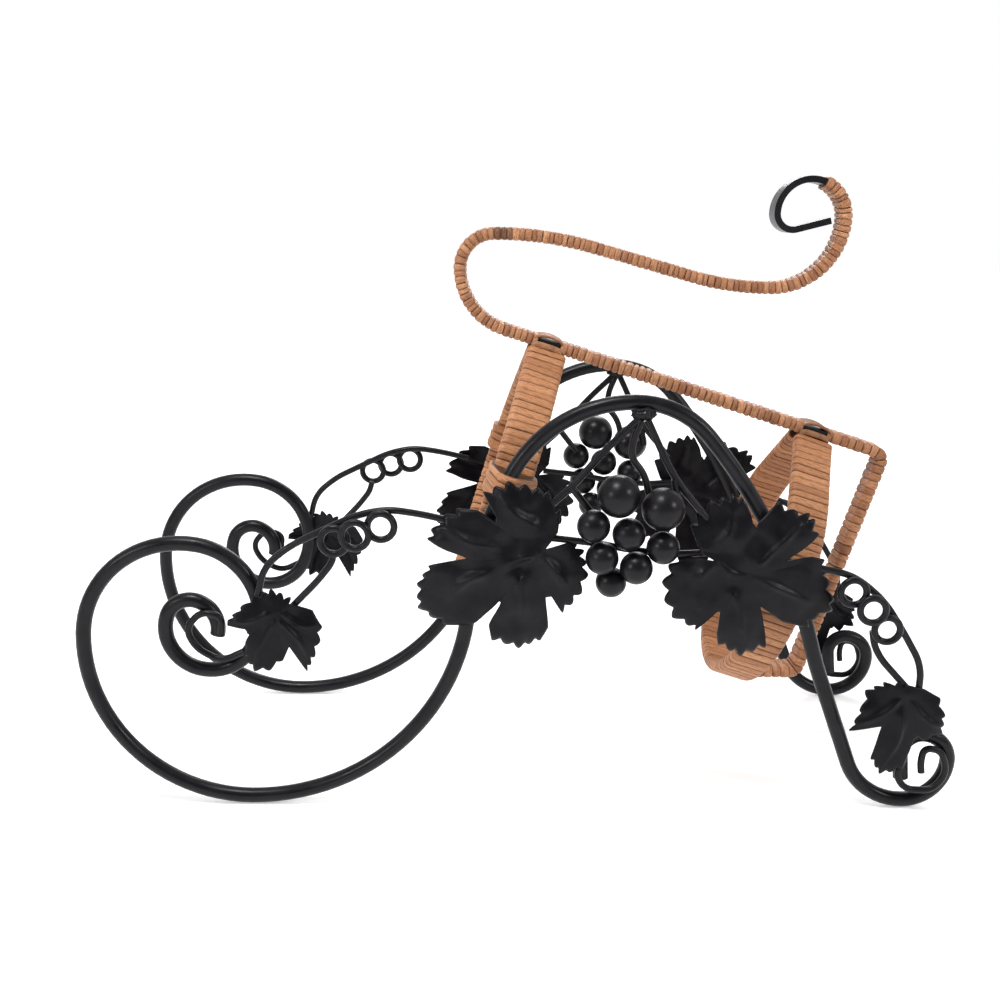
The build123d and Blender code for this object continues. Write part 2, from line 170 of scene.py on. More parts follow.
class Shader:
    """Small helper that adds nodes to one material and links them."""

    def __init__(self, name):
        self.material = bpy.data.materials.new(name)
        self.material.use_nodes = True
        self.tree = self.material.node_tree
        self.surface = self.tree.nodes["Principled BSDF"]

    def node(self, kind, **settings):
        """New node; a setting is one of its inputs where it has that name, and else a property."""
        made = self.tree.nodes.new(kind)
        for name, value in settings.items():
            if name in made.inputs:
                made.inputs[name].default_value = value
            else:
                setattr(made, name, value)
        return made

    def link(self, source, target):
        self.tree.links.new(source, target)

    def noise(self, scale, detail=4.0):
        """Noise with this many features per metre of the object."""
        texture = self.node("ShaderNodeTexNoise", Scale=scale, Detail=detail, Roughness=0.55)
        self.link(self.node("ShaderNodeTexCoord").outputs["Object"], texture.inputs["Vector"])
        return texture.outputs["Fac"]

    def remap(self, value, low, high, out_low, out_high):
        """The value's range from low to high, stretched to another range and clamped to it."""
        ranged = self.node("ShaderNodeMapRange")
        ranged.inputs["From Min"].default_value = low
        ranged.inputs["From Max"].default_value = high
        ranged.inputs["To Min"].default_value = out_low
        ranged.inputs["To Max"].default_value = out_high
        self.link(value, ranged.inputs["Value"])
        return ranged.outputs["Result"]

    def mix(self, factor, first, second):
        """First colour where the factor is 0, second where it is 1; each a tint or a socket."""
        blend = self.node("ShaderNodeMix", data_type="RGBA")
        self.link(factor, blend.inputs["Factor"])
        for colour, socket in ((first, blend.inputs["A"]), (second, blend.inputs["B"])):
            if isinstance(colour, tuple):
                socket.default_value = (*colour, 1)
            else:
                self.link(colour, socket)
        return blend.outputs["Result"]

    def bump(self, height, strength, distance, below=None):
        """Normal raised by a height, over another bump where one is below it."""
        bump = self.node("ShaderNodeBump", Strength=strength, Distance=distance)
        self.link(height, bump.inputs["Height"])
        if below:
            self.link(below, bump.inputs["Normal"])
        return bump.outputs["Normal"]

    def attribute(self, name):
        """Value that the mesh's points carry under a name."""
        return self.node("ShaderNodeAttribute", attribute_name=name).outputs["Fac"]


def floor_material():
    """Pale floor that glows more with distance, so that it meets the white surroundings."""
    shader = Shader("pale_floor")
    shader.link(shader.mix(shader.noise(3.0), *FLOOR_TINTS), shader.surface.inputs["Base Color"])
    shader.surface.inputs["Roughness"].default_value = 0.7
    shader.surface.inputs["Emission Color"].default_value = (1, 1, 1, 1)
    distance = shader.node("ShaderNodeVectorMath", operation="LENGTH")
    shader.link(shader.node("ShaderNodeTexCoord").outputs["Object"], distance.inputs[0])
    glow = shader.remap(distance.outputs["Value"], *FLOOR_GLOW_DISTANCE, *FLOOR_GLOW)
    shader.link(glow, shader.surface.inputs["Emission Strength"])
    return shader.material


def iron_material(name, low_rough, high_rough, dent_scale, dent_strength, shine):
    """Black satin paint over hand-worked iron: uneven tint, shallow dents and fine orange peel."""
    tint_scale, rough_scale, peel_scale = 90.0, 160.0, 1500.0
    dent_depth, peel_depth, peel_strength = 0.0006, 0.0002, 0.12
    shader = Shader(name)
    wear = shader.remap(shader.noise(tint_scale, 6.0), 0.35, 0.7, 0.0, 1.0)
    shader.link(shader.mix(wear, *PAINT_TINTS), shader.surface.inputs["Base Color"])
    rough = shader.remap(shader.noise(rough_scale, 5.0), 0.3, 0.7, low_rough, high_rough)
    shader.link(rough, shader.surface.inputs["Roughness"])
    dents = shader.bump(shader.noise(dent_scale, 2.0), dent_strength, dent_depth)
    peel = shader.bump(shader.noise(peel_scale, 3.0), peel_strength, peel_depth, dents)
    shader.link(peel, shader.surface.inputs["Normal"])
    shader.surface.inputs["Specular IOR Level"].default_value = shine
    return shader.material


def cane_material(name, light, middle, dark, fibre_scale):
    """Split rattan: tone changes from turn to turn, fibres run along the strand, seams are darkened with
    painted shade, and aged or worn cane is darker in its own colour.
    """
    blotch_scale, streak_most, blotch_most = 70.0, 0.85, 0.4
    low_rough, high_rough = 0.42, 0.62
    shader = Shader(name)
    fibre_place = shader.node("ShaderNodeCombineXYZ")
    shader.link(shader.attribute("strand_along"), fibre_place.inputs["X"])
    shader.link(shader.attribute("strand_across"), fibre_place.inputs["Y"])
    fibre_map = shader.node("ShaderNodeMapping")
    fibre_map.inputs["Scale"].default_value = (FIBRES_ALONG, fibre_scale, 1.0)
    shader.link(fibre_place.outputs["Vector"], fibre_map.inputs["Vector"])
    fibres = shader.node("ShaderNodeTexNoise", Scale=1.0, Detail=5.0, Roughness=0.6)
    shader.link(fibre_map.outputs["Vector"], fibres.inputs["Vector"])
    fibre = fibres.outputs["Fac"]
    body = shader.mix(shader.attribute("tone"), middle, light)
    streaked = shader.mix(shader.remap(fibre, 0.46, 0.7, 0.0, streak_most), body, dark)
    blotches = shader.remap(shader.noise(blotch_scale, 3.0), 0.5, 0.75, 0.0, blotch_most)
    blotched = shader.mix(blotches, streaked, middle)
    # Painted shade in the grooves between turns, and the darker colour of aged and worn cane, mixed over
    # the cane.
    seam_shade_and_wear_tint = tuple(channel * SEAM_SHADE_AND_WEAR for channel in dark)
    seam_shaded_and_worn = shader.mix(shader.attribute("seam_shade_and_wear"), blotched, seam_shade_and_wear_tint)
    shader.link(seam_shaded_and_worn, shader.surface.inputs["Base Color"])
    rough = shader.remap(fibre, 0.3, 0.7, low_rough, high_rough)
    shader.link(rough, shader.surface.inputs["Roughness"])
    shader.link(shader.bump(fibre, 0.35, 0.0003), shader.surface.inputs["Normal"])
    shader.surface.inputs["Specular IOR Level"].default_value = 0.35
    return shader.material


# ---------------------------------------------------------------- mesh helpers
def add_piece(name, vertices, faces, material, stands_for=(), attributes=None):
    """Smooth-shaded mesh from points in millimetres, riding on the rack's one body."""
    mesh = bpy.data.meshes.new(name)
    mesh.from_pydata([tuple(c * MM for c in v) for v in vertices], [], faces)
    mesh.update()
    mesh.polygons.foreach_set("use_smooth", [True] * len(mesh.polygons))
    for key, values in (attributes or {}).items():
        layer = mesh.attributes.new(key, "FLOAT", "POINT")
        layer.data.foreach_set("value", values)
    mesh.materials.append(material)
    piece = bpy.data.objects.new(name, mesh)
    bpy.context.scene.collection.objects.link(piece)
    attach(piece, BODY)
    if stands_for:
        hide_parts(*stands_for)


def tube_faces(rings, around):
    """Quads between rings of points, with the first and last ring closed by one face each."""
    faces = []
    for ring in range(rings - 1):
        for step in range(around):
            following = (step + 1) % around
            faces.append((ring * around + step, ring * around + following,
                          (ring + 1) * around + following, (ring + 1) * around + step))
    faces.append(tuple(reversed(range(around))))
    faces.append(tuple((rings - 1) * around + step for step in range(around)))
    return faces


def bend_route(start, heading, bends):
    """Chain of straights and arcs as (length, start u, start v, heading, turn per mm)."""
    u, v = start
    angle = radians(heading)
    route = []
    for size, turn in bends:
        turn = radians(turn)
        length = size if turn == 0 else size * abs(turn)
        route.append((length, u, v, angle, turn / length))
        chord = length if turn == 0 else 2 * size * sin(abs(turn) / 2)
        u, v = u + chord * cos(angle + turn / 2), v + chord * sin(angle + turn / 2)
        angle += turn
    return route


def along_route(route, distance):
    """Point and heading at a distance along a route."""
    for length, u, v, angle, bend in route:
        if distance <= length or (length, u, v, angle, bend) == route[-1]:
            break
        distance -= length
    turn = bend * distance
    chord = distance if abs(turn) < 1e-9 else 2 * sin(turn / 2) / bend
    return u + chord * cos(angle + turn / 2), v + chord * sin(angle + turn / 2), angle + turn


def rounded_section(width, depth, rounding, around):
    """Points and outward normals round a rounded rectangle, evenly spaced by length."""
    half_flat_wide, half_flat_deep = width / 2 - rounding, depth / 2 - rounding
    corner = pi * rounding / 2
    legs = []
    for count, flat in enumerate((half_flat_deep, half_flat_wide) * 2):
        angle = radians(90 * count)
        legs += [(flat * 2, angle, False), (corner, angle, True)]
    girth = sum(leg[0] for leg in legs)
    section = []
    for step in range(around):
        rest = (girth * step / around + half_flat_deep) % girth
        for length, angle, is_corner in legs:
            if rest < length:
                break
            rest -= length
        normal_angle = angle + (rest / rounding if is_corner else 0)
        normal = (cos(normal_angle), sin(normal_angle))
        ahead = (-sin(angle), cos(angle))
        side = (cos(angle), sin(angle))
        reach = abs(side[0]) * width / 2 + abs(side[1]) * depth / 2
        flat = abs(ahead[0]) * half_flat_wide + abs(ahead[1]) * half_flat_deep
        if is_corner:
            centre = tuple(side[k] * (reach - rounding) + ahead[k] * flat for k in (0, 1))
            point = tuple(centre[k] + rounding * normal[k] for k in (0, 1))
        else:
            point = tuple(side[k] * reach + ahead[k] * (rest - flat) for k in (0, 1))
        section.append((point, normal))
    return section, girth


def lashed_section(rod_side, rod_out, swell, around):
    """Outline of cane drawn tight round a collar and the rod beside it, this much outside both."""
    corner, gap = 1.0, 0.2
    half_width, half_depth = WRAP_WIDTH / 2 - corner, WRAP_DEPTH / 2 + gap
    discs = [(x, y, corner) for x in (-half_width, half_width) for y in (-half_depth, half_depth)]
    discs.append((rod_side, rod_out, ROD_RADIUS))
    section = []
    for step in range(around):
        angle = 2 * pi * step / around
        normal = (cos(angle), sin(angle))
        x, y, radius = max(discs, key=lambda disc: disc[0] * normal[0] + disc[1] * normal[1] + disc[2])
        section.append(((x + (radius + swell) * normal[0], y + (radius + swell) * normal[1]), normal))
    return section, 2 * (WRAP_WIDTH + rod_out)


# ---------------------------------------------------------------- winding
# How cane is wound: its pitch, how far a turn swells and how square the swell is, how far the seams
# lean and how deep they are, and which turns are dark with age.
Winding = namedtuple("Winding", "pitch swell squareness lean groove aged")
GRIP_WINDING = Winding(2.3, 0.45, 2.6, 0.5, 0.3, (28, 29, 30))
BAR_WINDING = Winding(2.7, 0.6, 2.6, 0.5, 0.3, ())
STOP_WINDING = Winding(3.1, 0.42, 4.0, 0.5, 0.3, ())
COLLAR_WINDING = Winding(3.15, 0.3, 6.0, 0.0, 0.35, ())
LASHING = Winding(3.7, 0.9, 3.5, 0.9, 0.4, ())
# Where the rings of points lie across one turn, closer together beside the seams.
RING_PLACES = (0.0, 0.05, 0.14, 0.3, 0.5, 0.7, 0.86, 0.95)
SEAM_SHIFT = 0.16           # how far a seam strays from its place, as a share of the pitch
SEAM_SWING = 0.35           # how far a seam's lean strays
SEAM_DEPTHS = (0.25, 1.0)   # shallowest and deepest, as shares of the winding's groove
SEAM_STARTS = 0.72          # from the middle of a turn, as a share of the way to its edge
AGED_SHADE = 0.6            # darkness of an aged turn, where a seam at its deepest has 1
TONE_MIDDLE, TONE_SPREAD = 0.5, 0.32
SWELL_RANGE = (0.75, 1.05)  # of the winding's swell
# Each turn takes its fibres from another part of the pattern.
FIBRE_STEP_ALONG, FIBRE_STEP_ACROSS = 31.7, 7.3


def wind(name, place, length, section, winding, material, stands_for, seed):
    """Cane wound round a core: a sleeve of many turns that swell between seams darkened with painted
    shade.

    place(distance) gives the centre, width direction and depth direction of the core.
    """
    outline, girth = section
    chance = random.Random(seed)
    turns = max(2, round(length / winding.pitch))
    pitch = length / turns
    # A seam is how far it is out of place, how far it leans, and how deep its groove and its painted
    # shade are.
    seams = [(pitch * chance.uniform(-SEAM_SHIFT, SEAM_SHIFT),
              winding.lean + chance.uniform(-SEAM_SWING, SEAM_SWING),
              chance.uniform(*SEAM_DEPTHS)) for _ in range(turns + 1)]
    half_width = max(point[0] for point, _ in outline)
    around = len(outline)
    vertices, tone, seam_shade_and_wear, along, across = [], [], [], [], []
    rings = 0
    for turn in range(turns):
        before, after = seams[turn], seams[turn + 1]
        shade = min(1.0, max(0.0, chance.gauss(TONE_MIDDLE, TONE_SPREAD)))
        lift = winding.swell * chance.uniform(*SWELL_RANGE)
        for share in RING_PLACES + ((1.0,) if turn == turns - 1 else ()):
            rings += 1
            edge = abs(2 * share - 1)
            nearest_depth = before[2] if share < 0.5 else after[2]
            # How deep the seam's groove and its painted shade are here: none in the middle of a turn,
            # most at its edge.
            dark = max(0.0, (edge - SEAM_STARTS) / (1 - SEAM_STARTS)) * nearest_depth
            rise = lift * (1 - edge ** winding.squareness) - winding.groove * dark
            for step, ((x, y), (normal_x, normal_y)) in enumerate(outline):
                low = before[0] + before[1] * x / half_width
                high = after[0] + after[1] * x / half_width
                distance = (turn + share) * pitch + low * (1 - share) + high * share
                centre, wide, deep = place(min(length, max(0.0, distance)))
                vertices.append(centre + wide * (x + normal_x * rise) + deep * (y + normal_y * rise))
                tone.append(shade)
                # This value carries the seam's painted shade; an aged turn is darker all over, in its own
                # colour.
                seam_shade_and_wear.append(max(dark, AGED_SHADE) if turn in winding.aged else dark)
                along.append(turn * FIBRE_STEP_ALONG + girth * step / around)
                across.append(turn * FIBRE_STEP_ACROSS + share * pitch)
    faces = tube_faces(rings, around)
    start, wide, deep = place(0.0)
    if wide.cross(deep).dot(place(pitch)[0] - start) < 0:
        # The outline runs clockwise round the way ahead, so each face is turned to look outwards.
        faces = [(face[0],) + face[:0:-1] for face in faces]
    attributes = {"tone": tone, "seam_shade_and_wear": seam_shade_and_wear, "strand_along": along, "strand_across": across}
    add_piece(name, vertices, faces, material, stands_for, attributes)


# ---------------------------------------------------------------- cane on the collars and the handle
# How much narrower and thinner the core of a winding is than its sleeve, so that the turns swell
# out to the sleeve; the rounding of its corners; and how many points go round it.
COLLAR_CORE = ((0.3, 0.5), 1.5, 44)
HANDLE_CORE = ((1.1, 1.0), 1.8, 36)


def wound_section(width, depth, core):
    """Outline of the core of a winding whose sleeve is this wide and deep."""
    (narrower, thinner), rounding, around = core
    return rounded_section(width - narrower, depth - thinner, rounding, around)


def upright_place(route):
    """Frames of a flat strip that runs along a route in the rack's mid-plane."""
    def place(distance):
        x, z, angle = along_route(route, distance)
        return Vector((x, 0, z)), ACROSS, Vector((-sin(angle), 0, cos(angle)))
    return place


def route_length(route):
    return sum(leg[0] for leg in route)


def make_collar_wraps(material):
    """Cane round both collars, from one side of the bare point to the other."""
    section = wound_section(WRAP_WIDTH, WRAP_DEPTH, COLLAR_CORE)
    lean = acos((COLLAR_RADIUS - NOSE_RADIUS) / (COLLAR_PEAK - NOSE_RADIUS))
    nose_height = COLLAR_PEAK - NOSE_RADIUS
    nose_turn = lean - asin(PEAK_BARE / NOSE_RADIUS)
    first = (PEAK_BARE, nose_height + sqrt(NOSE_RADIUS ** 2 - PEAK_BARE ** 2))
    run = sqrt(nose_height ** 2 - (COLLAR_RADIUS - NOSE_RADIUS) ** 2)
    bends = ((NOSE_RADIUS, -degrees(nose_turn)), (run, 0), (COLLAR_RADIUS, -(360 - 2 * degrees(lean))),
             (run, 0), (NOSE_RADIUS, -degrees(nose_turn)))
    route = bend_route(first, -degrees(lean - nose_turn), bends)
    for name, centre, seed in (("front_collar", FRONT_CENTRE, 11), ("rear_collar", REAR_CENTRE, 12)):
        def place(distance, centre=centre):
            y, v, angle = along_route(route, distance)
            return centre + ACROSS * y + ABOVE * v, ALONG, ACROSS * -sin(angle) + ABOVE * cos(angle)
        wind(name + "_cane", place, route_length(route), section, COLLAR_WINDING, material,
             (name + "_wrap",), seed)


def bar_point(distance):
    """Point (x, z) of the top bar's middle line, from the front collar towards the rear one."""
    return HANDLE_START[0] + cos(TILT) * distance, HANDLE_START[1] - sin(TILT) * distance


def make_handle_wraps(material):
    """Cane round the grip, the top bar and the stop behind the bottle's base."""
    section = wound_section(STRIP_WIDTH + 2 * CANE_THICKNESS, STRIP_THICKNESS + 2 * CANE_THICKNESS,
                            HANDLE_CORE)
    stop_from = COLLAR_SPACING + PEAK_CLEAR
    grip = bend_route(bar_point(-GRIP_BARE), 180 - AXIS_TILT, HANDLE_BENDS)
    bar = bend_route(bar_point(PEAK_CLEAR), -AXIS_TILT, ((COLLAR_SPACING - 2 * PEAK_CLEAR, 0),))
    stop = bend_route(bar_point(stop_from), -AXIS_TILT,
                      ((BAR_LENGTH - stop_from, 0), (CORNER_RADIUS, -90), (STOP_LENGTH, 0),
                       (CORNER_RADIUS, AXIS_TILT - 90), (TONGUE_LENGTH, 0)))
    for name, route, winding, node, seed in (("grip_cane", grip, GRIP_WINDING, "handle_wrap", 21),
                                             ("bar_cane", bar, BAR_WINDING, "bar_wrap", 22),
                                             ("stop_cane", stop, STOP_WINDING, "stop_wrap", 23)):
        wind(name, upright_place(route), route_length(route), section, winding, material, (node,), seed)


# A strand is its place across the rack, its height over the bar's middle line, the rise of its
# arch, and its half width and half height.
CROSSING_STRANDS = (
    (-4.6, 1.75, 1.0, 1.5, 0.62), (-1.6, 1.75, 1.0, 1.5, 0.62),
    (1.6, 1.75, 1.0, 1.5, 0.62), (4.6, 1.75, 1.0, 1.5, 0.62),
    (-5.7, -1.1, 0.2, 0.62, 1.15), (5.7, -1.1, 0.2, 0.62, 1.15),
)
CROSSING_OVERLAP = 1.4      # how far a strand runs over the winding at each end
CROSSING_SPREAD = 0.1       # how far the strands bow apart over the peak
CROSSING_TUCK = 1.0         # how far their ends dip
CROSSING_TONE, CROSSING_TONE_STEP = 0.3, 0.12   # of the first strand, and from each to the next
CROSSING_FIBRE_STEPS = (40, 9)          # along and across, from each strand to the next
CROSSING_FIBRE_REACH = 1.5


def make_crossing(name, middle, wear, material):
    """Flat strands that carry the winding over and beside the bare steel at a collar's point."""
    steps, around = 26, 12
    half_length = PEAK_CLEAR + CROSSING_OVERLAP
    for count, (y, low, arch, half_width, half_height) in enumerate(CROSSING_STRANDS):
        vertices, along, across = [], [], []
        for step in range(steps + 1):
            share = step / steps
            bow = sin(pi * share)
            distance = (2 * share - 1) * half_length
            rise = low + arch * bow - CROSSING_TUCK * abs(2 * share - 1) ** 6
            centre = (middle + ALONG * distance + ABOVE * rise
                      + ACROSS * y * (1 + CROSSING_SPREAD * bow))
            for turn in range(around):
                angle = 2 * pi * turn / around
                vertices.append(centre + ACROSS * half_width * cos(angle)
                                + ABOVE * half_height * sin(angle))
                along.append(distance + CROSSING_FIBRE_STEPS[0] * count)
                across.append(CROSSING_FIBRE_REACH * cos(angle) + CROSSING_FIBRE_STEPS[1] * count)
        tone = CROSSING_TONE + CROSSING_TONE_STEP * count
        attributes = {"tone": [tone] * len(vertices), "seam_shade_and_wear": [wear] * len(vertices),
                      "strand_along": along, "strand_across": across}
        add_piece(name + "_" + str(count + 1), vertices, tube_faces(steps + 1, around), material,
                  (), attributes)


def make_crossings(material):
    """The strands over both collars' points; the rear ones are a little darker with wear."""
    front = Vector((HANDLE_START[0], 0, HANDLE_START[1]))
    make_crossing("front_crossing", front, 0.25, material)
    make_crossing("rear_crossing", front + ALONG * COLLAR_SPACING, 0.4, material)


def make_ties(material):
    """Broad turns of cane that lash each side rod to each collar."""
    outside, around = 1.0, 40
    up, out = COLLAR_RADIUS * cos(radians(LASH_ANGLE)), COLLAR_RADIUS * sin(radians(LASH_ANGLE))
    # The rod passes a little in front of the middle of the collar's width.
    for end, collar, rod_side in (("front", FRONT_CENTRE, -2.1), ("rear", REAR_CENTRE, -2.8)):
        section = lashed_section(rod_side, FRAME_OFFSET - out, outside, around)
        for hand, side in SIDES:
            middle = collar + ABOVE * up + ACROSS * side * out

            def place(distance, middle=middle, side=side):
                return middle + ABOVE * (TIE_HEIGHT / 2 - distance), ALONG, ACROSS * side
            name = hand + "_" + end
            wind(name + "_lashing", place, TIE_HEIGHT, section, LASHING, material, (name + "_tie",),
                 30 + side)


# ---------------------------------------------------------------- leaves
LEAF_THICKNESS = 1.0
DOME_RADIUS = 110.0
STEEPEST_TOOTHED = 0.75     # an edge that points at the hub more than this has no teeth
# Shares of a leaf's longest reach: the width and height of its veins, how far the blade droops
# away from them and over what distance, and its ripple.
VEIN_WIDTH, VEIN_HEIGHT = 0.035, 0.034
DROOP, DROOP_DISTANCE = 0.045, 0.3
RIPPLE = 0.03
RIPPLES_PER_MM = 0.13
RIM_ROUNDING = 0.7          # how far the two faces draw together at the rim
# A leaf is its hub, the middle of its dome, the height of the dome's crown, the spacing and depth
# of its teeth, its veins as three points each from the hub, and the corners of its lobes and clefts
# in turn as (direction, distance from the hub).
Leaf = namedtuple("Leaf", "hub centre crown teeth veins corners")
LEAVES = {
    "front_big_leaf": Leaf(
        (6.5, 98.9), (-6.0, 99.0), 61.4, (5.4, 2.1),
        (((0.3, 0.7), (-6.5, -0.8), (-12.4, -4.2)), ((-1.7, 11.5), (-7.8, 15.0), (-12.4, 20.3)),
         ((-16.0, 3.3), (-23.5, 5.2), (-31.9, 9.3)), ((-17.5, -6.5), (-24.5, -9.0), (-30.2, -14.7)),
         ((-8.4, -7.0), (-5.0, -14.0), (-5.7, -24.5)), ((0.7, 0.0), (6.3, -6.0), (10.7, -14.7))),
        ((42, 3.5), (48, 10.5), (63, 17.5), (73, 18.5), (80, 22.5), (100, 25), (112, 28), (131, 29.5),
         (137, 20), (141, 18), (143, 26.5), (150, 32.5), (157, 35.5), (167, 38.5), (173, 39.5),
         (178, 32), (183, 24.5), (187, 39), (196, 45), (207, 48.5), (220, 43.5), (229.5, 36.5), (231, 33),
         (231.5, 22), (234, 22), (237, 32), (244, 37.5), (260, 37.5), (272, 34), (278.5, 28.5),
         (280, 16.5), (287.5, 16.5), (291.5, 24.5), (316, 22), (335, 20), (362, 16.5), (373, 14),
         (380, 12))),
    "rear_big_leaf": Leaf(
        (80.7, 93.1), (82.0, 91.0), 61.5, (5.4, 2.1),
        (((-10.4, 3.1), (-5.0, -1.0), (3.0, -2.4)), ((3.7, 3.8), (10.5, 10.5), (16.4, 16.1)),
         ((-11.1, 10.5), (-7.7, 15.0), (-6.4, 21.5)), ((4.4, -3.1), (13.0, -7.0), (21.5, -11.5)),
         ((-6.4, -7.5), (-3.0, -13.0), (-1.7, -21.3)), ((-13.1, 2.4), (-18.5, -4.5), (-17.1, -12.9))),
        ((88, 17), (91, 21), (97, 26.5), (103, 28), (120, 28.5), (133, 27.5), (143, 26), (159, 18.5),
         (162, 13), (166, 20.5), (170, 25), (177, 28), (190, 30.5), (203, 31.5), (216, 32),
         (226, 29.5), (233, 29), (234, 18.5), (237.5, 18), (247, 26), (252, 30), (268, 33),
         (285, 30.5), (287, 25), (289, 13.5), (304, 23), (316, 31.5), (323, 30.5), (333, 35),
         (340, 33.5), (351, 29.5), (359, 28.5), (368, 27), (373, 22.5), (378, 12.5), (382, 19),
         (387, 27.5), (399, 29), (405, 29), (415, 26.5), (428, 26.5), (440, 18.5))),
    "front_small_leaf": Leaf(
        (-85.8, 77.2), (-88.0, 68.0), 60.0, (4.6, 1.6),
        (((-4.0, -0.7), (-10.0, -3.2), (-16.0, -3.0)), ((-1.5, -4.0), (-6.5, -12.0), (-8.6, -20.0)),
         ((1.5, -4.0), (6.8, -9.5), (10.0, -16.0)), ((3.0, -1.0), (8.0, -4.5), (12.5, -4.8))),
        ((24, 6.5), (49, 7), (107, 8.6), (148, 10.6), (171, 13.3), (184, 16.5), (190, 18.5), (196, 19.3),
         (208, 13.5), (212, 13.5), (231, 21), (247, 24.5), (260, 22.7), (273, 18.5),
         (285, 13.5), (292, 25), (307, 21), (322, 18.5), (340, 16.5), (362, 12.2))),
    "rear_small_leaf": Leaf(
        (138.9, 46.4), (138.0, 34.0), 60.0, (4.6, 1.6),
        (((-3.0, -2.0), (-9.5, -7.5), (-17.0, -10.6)), ((-1.0, -6.0), (-1.5, -15.0), (-5.8, -26.0)),
         ((3.0, -3.0), (8.0, -8.5), (13.0, -11.0))),
        ((79, 4), (114, 5.4), (147, 9), (175, 13.7), (198, 16.6), (216, 23.7),
         (237, 14), (247, 27), (258, 32), (272, 29), (279, 21),
         (285, 17), (296, 19.4), (315, 21), (334, 16.8), (354, 13.4), (379, 7.4))),
}


def saw_edge(corners, teeth):
    """Points round the leaf, relative to its hub, with round teeth between sharp valleys."""
    spacing, depth = teeth
    steps = 8
    points = [Vector((reach * cos(radians(angle)), reach * sin(radians(angle))))
              for angle, reach in corners]
    edge_points = []
    for corner, following in zip(points, points[1:] + points[:1]):
        edge = following - corner
        inward = abs(corner.normalized().dot(edge.normalized()))
        count = round(edge.length / spacing) if inward < STEEPEST_TOOTHED else 0
        edge_points.append(corner)
        for step in range(1, count * steps):
            point = corner + edge * (step / (count * steps))
            valley = 1 - abs(cos(pi * step / steps))
            edge_points.append(point - point.normalized() * depth * valley)
    return edge_points


def edge_reach(points, samples):
    """Distance from the hub to the outline in evenly spaced directions, each averaged over three."""
    reaches = [0.0] * samples
    for start, end in zip(points, points[1:] + points[:1]):
        first, last = atan2(start.y, start.x), atan2(end.y, end.x)
        swing = (last - first + pi) % (2 * pi) - pi
        if swing < 0:
            start, end, first, swing = end, start, last, -swing
        edge = end - start
        low = ceil(first / (2 * pi) * samples)
        high = floor((first + swing) / (2 * pi) * samples)
        for k in range(low, high + 1):
            ahead = Vector((cos(2 * pi * k / samples), sin(2 * pi * k / samples)))
            cross = ahead.x * edge.y - ahead.y * edge.x
            if abs(cross) > 1e-9:
                reach = (start.x * edge.y - start.y * edge.x) / cross
                reaches[k % samples] = max(reaches[k % samples], reach)
    return [sum(reaches[(k + shift) % samples] for shift in (-1, 0, 1)) / 3
            for k in range(samples)]


def vein_line(start, middle, end):
    """Points along the smooth curve that passes through three points."""
    steps = 6
    start, middle, end = Vector(start), Vector(middle), Vector(end)
    control = middle * 2 - (start + end) / 2
    line = []
    for step in range(steps + 1):
        share = step / steps
        line.append(start * (1 - share) ** 2 + control * 2 * share * (1 - share) + end * share ** 2)
    return line


def vein_distance(x, z, line):
    """Distance from a point to a vein, and how far along the vein its nearest point lies."""
    best, place = 1e9, 0.0
    for count, (start, end) in enumerate(zip(line, line[1:])):
        run_x, run_z = end.x - start.x, end.y - start.y
        share = ((x - start.x) * run_x + (z - start.y) * run_z) / (run_x * run_x + run_z * run_z)
        share = min(1.0, max(0.0, share))
        away = hypot(x - start.x - share * run_x, z - start.y - share * run_z)
        if away < best:
            best, place = away, (count + share) / (len(line) - 1)
    return best, place


def leaf_height(x, z, leaf, lines, biggest):
    """How far the outer face of the blade stands from the rack's mid-plane."""
    away = hypot(leaf.hub[0] + x - leaf.centre[0], leaf.hub[1] + z - leaf.centre[1])
    dome = leaf.crown + LEAF_THICKNESS - away * away / (2 * DOME_RADIUS)
    ridge, nearest = 0.0, biggest
    for line in lines:
        off, place = vein_distance(x, z, line)
        # A vein is highest a third of the way along.
        crest = 1 - 0.5 * abs(2 * place - 0.7)
        ridge = max(ridge, crest * exp(-(off / (VEIN_WIDTH * biggest)) ** 2))
        nearest = min(nearest, off)
    droop_distance = DROOP_DISTANCE * biggest
    droop = min(1.0, nearest / droop_distance) ** 1.5 * min(1.0, hypot(x, z) / droop_distance)
    ripple = noise.noise(Vector((x * RIPPLES_PER_MM + leaf.hub[0], z * RIPPLES_PER_MM, leaf.hub[1])))
    return dome + VEIN_HEIGHT * biggest * ridge - DROOP * biggest * droop + RIPPLE * biggest * ripple


def leaf_surface(leaf):
    """Points of the outer face as (x, z, height) in rings round the hub, which comes first."""
    around, rings = 720, 22
    reaches = edge_reach(saw_edge(leaf.corners, leaf.teeth), around)
    biggest = max(reaches)
    lines = [vein_line(*vein) for vein in leaf.veins]
    places = [(0.0, 0.0)]
    for ring in range(1, rings + 1):
        # The rings lie a little closer together near the rim.
        share = (ring / rings) ** 0.85
        for k in range(around):
            angle = 2 * pi * k / around
            places.append((reaches[k] * share * cos(angle), reaches[k] * share * sin(angle)))
    return [(x, z, leaf_height(x, z, leaf, lines, biggest)) for x, z in places], around, rings


